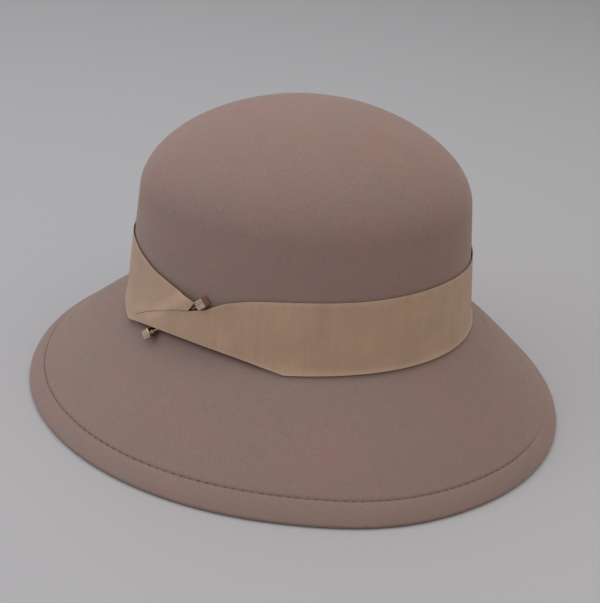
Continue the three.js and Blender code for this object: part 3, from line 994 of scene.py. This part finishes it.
@dataclass
class HemStitching:
    """The row of machine stitches that holds the folded edge."""

    form: HatForm
    finish: Thread = field(default_factory=Thread)
    stitch_length: float = 1.7 * MM
    thread_radius: float = 0.2 * MM
    sunk: float = 0.36 * MM
    columns: int = 360

    def sew(self, piece: Object, material: Material) -> Object:
        """Sews stitches along a piece's edges with Geometry Nodes.

        Args:
            piece: object whose edges are the stitch line.
            material: the thread's finish.

        Returns:
            The same object, as stitches alone.
        """
        values = {
            "Pitch": self.form.stitch_pitch, "Stitch Length": self.stitch_length,
            "Thread Radius": self.thread_radius,
        }
        tree, add, sizes = start_tree("sew_stitches", values)
        line = add("GeometryNodeMeshToCurve", {"Mesh": sizes["Bed"]})
        spaced = add("GeometryNodeResampleCurve", {
            "Curve": line, "Length": sizes["Pitch"],
        }, mode="LENGTH")
        ball = add("GeometryNodeMeshUVSphere", {"Segments": 8, "Rings": 6, "Radius": 1.0})
        half = add("ShaderNodeMath", {0: sizes["Stitch Length"], 1: 0.5}, operation="MULTIPLY")
        shape = add("ShaderNodeCombineXYZ", {
            "X": half, "Y": sizes["Thread Radius"], "Z": sizes["Thread Radius"],
        })
        stitch = add("GeometryNodeTransform", {"Geometry": ball, "Scale": shape})
        tangent = add("GeometryNodeInputTangent")
        along = add("FunctionNodeAlignRotationToVector", {"Vector": tangent}, axis="X")
        sewn = add("GeometryNodeInstanceOnPoints", {
            "Points": spaced, "Instance": stitch, "Rotation": along,
        })
        end_tree(tree, sewn, material)
        return grow(piece, tree, values)

    def build(self) -> Object:
        """Sews the stitches round the brim.

        Returns:
            The stitches as one object.
        """
        rows = np.stack([
            self.form.brim_from_edge(ring(self.columns), self.form.hem_width + aside)
            for aside in (MM, 0, -MM)
        ])
        line = rows[1] - self.sunk * outward(rows, rows[0])[1]
        edges = [(index, (index + 1) % self.columns) for index in range(self.columns)]
        mesh = bpy.data.meshes.new("hem_stitches")
        mesh.from_pydata(line.tolist(), edges, [])
        material = self.finish.make()
        piece = self.sew(place("hem_stitches", mesh, material), material)
        piece.data.shade_smooth()
        return piece


@dataclass
class RibbonBand:
    """The ribbon round the crown, folded into one pleat at the left front.

    Edges are tables of azimuth in degrees and height in millimetres.
    """

    form: HatForm
    finish: Grosgrain = field(default_factory=Grosgrain)
    clearance: float = 0.35 * MM
    thickness: float = 0.4 * MM
    lower_face: float = 0.6 * MM
    upper_face: float = 1.4 * MM
    middle_face: float = 0.66 * MM
    tuck: float = 2.5 * MM
    pinch_azimuth: float = -45.4
    pinch_half_width: float = 31
    pinch_rise: float = 4.1 * MM
    corner_rise: float = 1.4 * MM
    rib_pitch: float = 1.35 * MM
    step: float = 0.5
    tip: float = -34.1
    notch: float = -36.4
    corner: float = -65.3
    back_corner: float = -2
    layer_rows: int = 14
    lip_rows: int = 6
    tuck_rows: int = 3
    pin_clear: float = 6 * MM
    pin_fade: float = 12 * MM
    pin_fall: float = 0.85
    corner_reach: float = 18 * MM
    corner_spread: float = 9
    shade_per_gap: float = 0.6
    pleat_reach: float = 0.85
    tip_curve: float = 1.6
    tuck_fade: float = 4
    mid_height: float = 20 * MM
    selvedge_width: float = 0.55 * MM
    same_point: float = 0.002 * MM
    sharp_angle: float = 50
    front_top: Table = (
        (-180, 41.4), (-115, 42), (-92, 42.7), (-69, 43.2), (-64.7, 42.1), (-59.7, 40.9),
        (-55.4, 39.5), (-51.9, 38.5), (-48, 37.5), (-45, 36.5), (-42.4, 35.5), (-38.9, 34.9),
        (-36, 34.4), (-34.1, 33.1),
    )
    back_top: Table = (
        (-36.7, 27), (-33.4, 28.6), (-30.4, 30.1), (-28.1, 32.2), (-24.2, 35.2), (-20.1, 37),
        (-14.6, 38.9), (-8.3, 40), (2.1, 41), (16, 41.7), (30, 42.2), (45, 42.9), (60, 43),
        (75, 42), (90, 41.6), (180, 41.4),
    )
    pleat_line: Table = (
        (-65.3, 2.2), (-60.8, 8.6), (-56.6, 13.2), (-47.8, 20.8), (-40.1, 26.5), (-36.4, 27.9),
    )
    waist_line: Table = (
        (-65.3, 2.2), (-54.6, 8), (-46.6, 10.7), (-40.2, 11.4), (-34.6, 10.9), (-29.3, 9.7),
        (-23.9, 8.2), (-18.5, 6.5), (-13, 4.7), (-7.5, 2.9), (-2, 1),
    )
    side_line: Table = ((-2, 1), (20, 2), (45, 2.1), (72, 1.5), (180, 1.3))
    front_line: Table = ((-180, 1.3), (-90, 1.5), (-65.3, 2.2))

    def stand_off(self, azimuth: Points, height: Points) -> Points:
        """How far the ribbon's back stands off the felt: over the pin, and at the corner."""
        share = np.clip((azimuth - self.pinch_azimuth) / self.pinch_half_width, -1, 1)
        upper, lower = self.form.upper_cube, self.form.lower_cube
        rod = np.interp(azimuth, [lower[0], upper[0]], [lower[1], upper[1]])
        fall = smooth_step((height - rod - self.pin_clear) / self.pin_fade)
        rise = self.pinch_rise * np.cos(np.pi / 2 * share) ** 2 * (1 - self.pin_fall * fall)
        low = 1 - smooth_step(height / self.corner_reach)
        beside = (azimuth - self.corner) / self.corner_spread
        lift = self.corner_rise * np.exp(-(beside**2)) * low
        return self.clearance + self.form.flare_at(height) + rise + lift

    def azimuths(self) -> Points:
        """Azimuths of the ribbon's columns, with its corners among them."""
        even = np.arange(-180, 180, self.step)
        corners = np.array([self.tip, self.notch, self.corner, self.back_corner])
        clear = np.abs(even[:, None] - corners).min(axis=1) > 0.3 * self.step
        return np.sort(np.concatenate([even[clear], corners]))

    def lower_edge(self, azimuth: Points) -> Points:
        """Height of the lower edge."""
        front = through_table(azimuth, self.front_line)
        waist = through_table(azimuth, self.waist_line)
        side = through_table(azimuth, self.side_line)
        inside = np.where(azimuth < self.back_corner, waist, side)
        return np.where(azimuth < self.corner, front, inside) * MM

    def shadow_line(self, azimuth: Points) -> Points:
        """Height on the felt where the lower edge's shade begins, lower where it stands off."""
        low = self.lower_edge(azimuth)
        return low - self.shade_per_gap * (self.stand_off(azimuth, low) + self.lower_face)

    def rows(self, azimuth: Points) -> tuple[Points, Points]:
        """Heights and depths of the ribbon's outer face by row and column.

        Args:
            azimuth: azimuths of the columns.

        Returns:
            Heights up the crown, and distances off the felt.
        """
        low = self.lower_edge(azimuth)
        front_top = through_table(azimuth, self.front_top) * MM
        back_top = through_table(azimuth, self.back_top) * MM
        folded = (azimuth >= self.corner) & (azimuth <= self.tip)
        share = np.clip((azimuth - self.notch) / (self.corner - self.notch), 0, 1)
        open_by = np.clip(1 - share / self.pleat_reach, 0, 1)
        open_by = np.where(azimuth > self.corner, open_by, 0)
        pleat = through_table(azimuth, self.pleat_line) * MM
        rising = np.clip((azimuth - self.notch) / (self.tip - self.notch), 0, 1)
        pleat = np.where(
            azimuth > self.notch, pleat + (front_top - pleat) * rising**self.tip_curve, pleat
        )
        pleat = np.where(azimuth < self.corner, low, pleat)
        pleat = np.where(azimuth > self.tip, back_top, pleat)
        top = np.where(azimuth > self.tip, back_top, front_top)
        tuck = self.tuck * open_by * np.clip((self.notch - azimuth) / self.tuck_fade, 0, 1)
        lower_top = np.where(azimuth > self.notch, back_top, pleat + tuck)
        lower_top = np.where(azimuth < self.corner, low, lower_top)
        face = self.lower_face + (self.upper_face - self.lower_face) * open_by
        middle = self.lower_face + (self.middle_face - self.lower_face) * open_by
        heights, depths = [], []
        for row in range(self.layer_rows + 1):
            heights.append(top + (pleat - top) * row / self.layer_rows)
            depths.append(face)
        radius = np.where(folded, (face - middle) / 2, 0)
        for row in range(1, self.lip_rows + 1):
            turn = math.pi * row / self.lip_rows
            heights.append(pleat - radius * math.sin(turn))
            depths.append(middle + radius * (1 + math.cos(turn)))
        for row in range(1, self.tuck_rows + 1):
            heights.append(pleat + tuck * row / self.tuck_rows)
            depths.append(middle)
        for row in range(self.layer_rows + 1):
            heights.append(lower_top + (low - lower_top) * row / self.layer_rows)
            depths.append(np.full_like(azimuth, self.lower_face))
        return np.stack(heights), np.stack(depths)

    def faces(self, azimuth: Points, rows: int) -> Points:
        """Lists the sheet's quads.

        Args:
            azimuth: azimuths of the columns.
            rows: number of rows in the grid.

        Returns:
            Four point numbers for each quad that is cloth, and none where a layer has run out.
        """
        index = np.arange(rows * len(azimuth)).reshape(rows, -1)
        quads = np.stack([index[:-1, :-1], index[1:, :-1], index[1:, 1:], index[:-1, 1:]], axis=-1)
        here, after = azimuth[:-1], azimuth[1:]
        row = np.arange(rows - 1)[:, None]
        lip_from = self.layer_rows
        middle_from = lip_from + self.lip_rows
        lower_from = middle_from + self.tuck_rows + 1
        folded = here >= self.corner
        cloth = (
            (row < lip_from) & (after <= self.tip)
            | (row >= lip_from) & (row < middle_from) & folded & (after <= self.tip)
            | (row >= middle_from) & (row < lower_from) & folded & (after <= self.notch)
            | (row >= lower_from) & folded
        )
        last = index[lower_from:, -1]
        first = index[:lip_from + 1, 0]
        closing = np.stack([last[:-1], last[1:], first[1:], first[:-1]], axis=-1)
        return np.concatenate([quads[cloth], closing])

    def build(self) -> Object:
        """Builds the ribbon as one folded sheet with its real thickness.

        Returns:
            The ribbon's object.
        """
        azimuth = self.azimuths()
        heights, depths = self.rows(azimuth)
        columns = np.broadcast_to(azimuth, heights.shape)
        offsets = self.stand_off(columns, heights) + depths
        points = self.form.crown_point(columns, heights, offsets)
        mesh = bpy.data.meshes.new("ribbon_sheet")
        faces = self.faces(azimuth, len(heights)).tolist()
        mesh.from_pydata(points.reshape(-1, 3).tolist(), [], faces)
        self.map_ribs(mesh, azimuth, heights)
        self.join_rows(mesh)
        mesh.shade_smooth()
        piece = place("grosgrain_band", mesh, self.finish.make())
        mesh.materials.append(self.finish.make_cut_edge())
        wall = piece.modifiers.new("cloth", "SOLIDIFY")
        wall.thickness = self.thickness
        wall.offset = -1
        # the thin sides take the second material, painted dark as shade
        wall.material_offset_rim = 1
        freeze(piece)
        piece.data.set_sharp_from_angle(angle=math.radians(self.sharp_angle))
        return piece

    def map_ribs(self, mesh: Mesh, azimuth: Points, heights: Points) -> None:
        """Writes the UV map that counts ribs along the ribbon, and marks its selvedges.

        Args:
            mesh: the sheet, still with its grid's vertex order.
            azimuth: azimuths of the columns.
            heights: heights by row and column.
        """
        middle = self.form.crown_point(azimuth, self.mid_height, self.lower_face)
        steps = np.linalg.norm(np.roll(middle, -1, axis=0) - middle, axis=-1)
        ribs = round(float(steps.sum()) / self.rib_pitch)
        counted = np.concatenate([[0.0], np.cumsum(steps)]) * ribs / steps.sum()
        count = len(azimuth)
        corners = np.zeros(len(mesh.loops), np.int64)
        mesh.loops.foreach_get("vertex_index", corners)
        column, flat = corners % count, heights.reshape(-1)
        per_face = column.reshape(-1, 4)
        wraps = (per_face.max(axis=1) - per_face.min(axis=1) > 1).repeat(4)
        along = np.where(wraps & (column == 0), counted[-1], counted[column])
        woven = mesh.uv_layers.new(name="ribs")
        woven.data.foreach_set("uv", np.stack([along, flat[corners]], axis=-1).ravel())
        from_low = heights - self.lower_edge(azimuth)
        from_top = np.where(
            np.arange(len(heights))[:, None] <= self.layer_rows, heights[0] - heights, 1.0
        )
        from_back = np.where(azimuth > self.tip, heights[-self.layer_rows - 1] - heights, 1.0)
        near = np.minimum(np.minimum(from_low, from_top), from_back)
        marks = np.clip(1 - near / self.selvedge_width, 0, 1).astype(np.float32)
        selvedge = mesh.attributes.new("selvedge", "FLOAT", "POINT")
        selvedge.data.foreach_set("value", marks.ravel())

    def join_rows(self, mesh: Mesh) -> None:
        """Joins the sheet's doubled points where a layer has run out."""
        sheet = bmesh.new()
        sheet.from_mesh(mesh)
        bmesh.ops.remove_doubles(sheet, verts=sheet.verts, dist=self.same_point)
        loose = [vert for vert in sheet.verts if not vert.link_faces]
        bmesh.ops.delete(sheet, geom=loose, context="VERTS")
        sheet.to_mesh(mesh)
        sheet.free()


@dataclass
class OrnamentPin:
    """The pin through the ribbon: a bevelled cube and a collar at each end of a thin rod."""

    form: HatForm
    finish: PlatedBrass = field(default_factory=PlatedBrass)
    cube_side: float = 5.2 * MM
    bevel: float = 0.5 * MM
    rod_radius: float = 0.6 * MM
    collar_radius: float = 1.3 * MM
    collar_length: float = 1.6 * MM
    socket_clearance: float = 0.3 * MM
    socket_depth: float = 2.6 * MM
    sides: int = 32
    bevel_steps: int = 4
    bevel_fullness: float = 0.6
    sharp_angle: float = 40
    collar_shape: Table = (
        (-0.3, 0.8), (0.0, 0.86), (0.25, 0.82), (0.5, 0.82), (0.62, 0.95), (0.72, 1.0),
        (0.86, 1.0), (0.95, 0.94), (1.0, 0.8),
    )

    def __post_init__(self) -> None:
        """Works out the pin's own frame: X from the upper cube to the lower, Z off the felt."""
        form = self.form
        start, end = self.centre(form.upper_cube), self.centre(form.lower_cube)
        self.length = (end - start).length
        x_axis = (end - start).normalized()
        y_axis = self.away(form.upper_cube).cross(x_axis).normalized()
        z_axis = x_axis.cross(y_axis)
        turned = Matrix((x_axis, y_axis, z_axis)).transposed().to_4x4()
        self.place = Matrix.Translation(start) @ turned
        away = self.away(form.lower_cube)
        self.lower_turn = math.atan2(-away.dot(y_axis), away.dot(z_axis))

    def centre(self, cube: Triple) -> Vector:
        """Centre of a cube from its azimuth, height and distance off the felt."""
        return Vector(self.form.crown_point(np.array(cube[0]), cube[1], cube[2]))

    def away(self, cube: Triple) -> Vector:
        """Direction straight away from the crown at a cube."""
        near = self.form.crown_point(np.array(cube[0]), cube[1], 0.0)
        far = self.form.crown_point(np.array(cube[0]), cube[1], MM)
        return Vector(far - near)

    def add_cube(self, body: BMesh, along: float, turn: float) -> None:
        """Adds a cube with rolled edges to a body.

        Args:
            body: mesh being built, in the pin's own frame.
            along: its centre's place on the pin.
            turn: its turn about the pin, in radians.
        """
        spot = Matrix.Translation((along, 0, 0)) @ Matrix.Rotation(turn, 4, "X")
        made = bmesh.ops.create_cube(body, size=self.cube_side, matrix=spot)
        edges = list({edge for vert in made["verts"] for edge in vert.link_edges})
        bmesh.ops.bevel(
            body, geom=edges, offset=self.bevel, segments=self.bevel_steps,
            profile=self.bevel_fullness, affect="EDGES",
        )

    def add_turned(self, body: BMesh, profile: list[tuple[float, float]]) -> None:
        """Adds a turned shape to a body.

        Args:
            body: mesh being built, in the pin's own frame.
            profile: rows of place along the pin and radius. It closes on the axis.
        """
        rings = []
        turns = [2 * math.pi * index / self.sides for index in range(self.sides)]
        for along, radius in profile:
            rings.append([
                body.verts.new((along, radius * math.cos(turn), radius * math.sin(turn)))
                for turn in turns
            ])
        for before, after in zip(rings, rings[1:]):
            for index in range(self.sides):
                other = (index + 1) % self.sides
                body.faces.new((before[index], before[other], after[other], after[index]))
        body.faces.new(list(reversed(rings[0])))
        body.faces.new(rings[-1])

    def collar(self, face: float, facing: float) -> list[tuple[float, float]]:
        """Profile of a collar with a rolled rim that stands on a cube's face."""
        radius, length = self.collar_radius, self.collar_length
        rows = [
            (face + facing * along * length, radius * wide) for along, wide in self.collar_shape
        ]
        return rows if facing > 0 else rows[::-1]

    def finished(self, name: str, body: BMesh, material: Material) -> Object:
        """Places a body on the hat as an object."""
        bmesh.ops.recalc_face_normals(body, faces=body.faces)
        body.transform(self.place)
        mesh = bpy.data.meshes.new(name)
        body.to_mesh(mesh)
        body.free()
        mesh.shade_smooth()
        mesh.set_sharp_from_angle(angle=math.radians(self.sharp_angle))
        return place(name, mesh, material)

    def build(self) -> tuple[Object, Object]:
        """Builds the pin.

        Returns:
            The rod with its upper cube, and the push-on cap with the lower cube.
        """
        material = self.finish.make()
        half = self.cube_side / 2
        rod = bmesh.new()
        self.add_cube(rod, 0, 0)
        self.add_turned(rod, self.collar(half, 1))
        rod_end = self.length - half + self.socket_depth - self.socket_clearance
        self.add_turned(rod, [(half, self.rod_radius), (rod_end, self.rod_radius)])
        upper = self.finished("pin_upper_cube", rod, material)
        cap = bmesh.new()
        self.add_cube(cap, self.length, self.lower_turn)
        self.add_turned(cap, self.collar(self.length - half, -1))
        lower = self.finished("pin_lower_cube", cap, material)
        return upper, lower


@dataclass
class Studio:
    """A plain pale floor, soft light from above and a weak even surround."""

    floor_size: float = 8.0
    floor_colour: str = "b5b4b6"
    surround: str = "d6d6d7"
    surround_strength: float = 0.5
    floor_drop: float = 0.1 * MM
    aim: Triple = (0, 0, 80 * MM)
    lights: tuple[tuple[str, Triple, float, float, str], ...] = (
        ("overhead", (0.05, -0.05, 1.3), 2.2, 15.5, "ffffff"),
        ("window", (0.7, -1.35, 0.8), 1.2, 6.6, "f4f7ff"),
        ("far_side", (0.9, 1.2, 0.9), 1.2, 2.0, "ffd5a2"),
    )

    def build(self) -> None:
        """Builds the floor, the lights and the surround."""
        half = self.floor_size / 2
        signs = ((-1, -1), (1, -1), (1, 1), (-1, 1))
        corners = [(x * half, y * half, -self.floor_drop) for x, y in signs]
        mesh = bpy.data.meshes.new("floor")
        mesh.from_pydata(corners, [], [(0, 1, 2, 3)])
        material, _, shader = new_material("pale_floor")
        feed(shader, {
            "Base Color": linear(self.floor_colour), "Roughness": 0.9, "Specular IOR Level": 0.1,
        })
        place("floor", mesh, material)
        world = bpy.data.worlds.new("surround")
        world.use_nodes = True
        sky = world.node_tree.nodes["Background"]
        sky.inputs["Color"].default_value = linear(self.surround)
        sky.inputs["Strength"].default_value = self.surround_strength
        bpy.context.scene.world = world
        for light in self.lights:
            self.add_light(*light)
        bpy.context.scene.view_settings.view_transform = "Standard"

    def add_light(
        self, name: str, spot: Triple, size: float, power: float, tint: str
    ) -> None:
        """Adds a square soft light that faces the hat.

        Args:
            name: its name.
            spot: where it hangs.
            size: length of its side.
            power: watts.
            tint: colour of the light, in sRGB hex.
        """
        lamp = bpy.data.lights.new(name, "AREA")
        lamp.size = size
        lamp.energy = power
        lamp.color = linear(tint)[:3]
        light = bpy.data.objects.new(name, lamp)
        light.location = spot
        aim = Vector(self.aim) - Vector(spot)
        light.rotation_euler = aim.to_track_quat("-Z", "Y").to_euler()
        bpy.context.scene.collection.objects.link(light)


@dataclass
class PhotoCamera:
    """The camera that took the photograph, fitted to the hat's outline."""

    focal_pixels: float = 1053.6
    spot: Triple = (0.5414, 0.0036, 0.3403)
    yaw: float = 0.59
    pitch: float = 28.14
    roll: float = 6.18
    sensor: float = 36.0
    nearest: float = 0.01

    def build(self) -> Object:
        """Builds the camera and makes it the scene's own.

        Returns:
            The camera.
        """
        yaw, pitch, roll = (math.radians(angle) for angle in (self.yaw, self.pitch, self.roll))
        ahead = Vector((
            -math.cos(pitch) * math.cos(yaw), -math.cos(pitch) * math.sin(yaw), -math.sin(pitch),
        ))
        level = ahead.cross(Vector((0, 0, 1))).normalized()
        upright = level.cross(ahead)
        right = math.cos(roll) * level + math.sin(roll) * upright
        up = -math.sin(roll) * level + math.cos(roll) * upright
        lens = bpy.data.cameras.new("photo_camera")
        lens.sensor_fit = "HORIZONTAL"
        lens.sensor_width = self.sensor
        lens.lens = self.focal_pixels * self.sensor / IMAGE_WIDTH
        lens.clip_start = self.nearest
        camera = bpy.data.objects.new("photo_camera", lens)
        turned = Matrix((right, up, -ahead)).transposed().to_4x4()
        camera.matrix_world = Matrix.Translation(self.spot) @ turned
        bpy.context.scene.collection.objects.link(camera)
        bpy.context.scene.camera = camera
        return camera


def report(piece: Object) -> None:
    """Logs a finished piece with its number of triangles."""
    piece.data.calc_loop_triangles()
    LOG.info("%s: %d triangles", piece.name, len(piece.data.loop_triangles))


def main() -> None:
    """Builds the hat piece by piece, then the studio and the camera."""
    logging.basicConfig(level=logging.INFO, format="%(name)s %(message)s")
    form = HatForm()
    PhotoCamera().build()
    Studio().build()
    ribbon = RibbonBand(form)
    felt = hand_over(FeltBody(form, ribbon.shadow_line).build(), Slot.FELT, "felt_body")
    report(felt)
    report(hand_over(StandingNap(form).build(), Slot.FELT))
    report(hand_over(HemStitching(form).build(), Slot.FELT))
    band = hand_over(ribbon.build(), Slot.RIBBON, "ribbon_band")
    report(band)
    upper, lower = OrnamentPin(form).build()
    report(hand_over(upper, Slot.METAL, "pin_rod"))
    report(hand_over(lower, Slot.METAL, "pin_end_cap"))


if __name__ == "__main__":
    main()
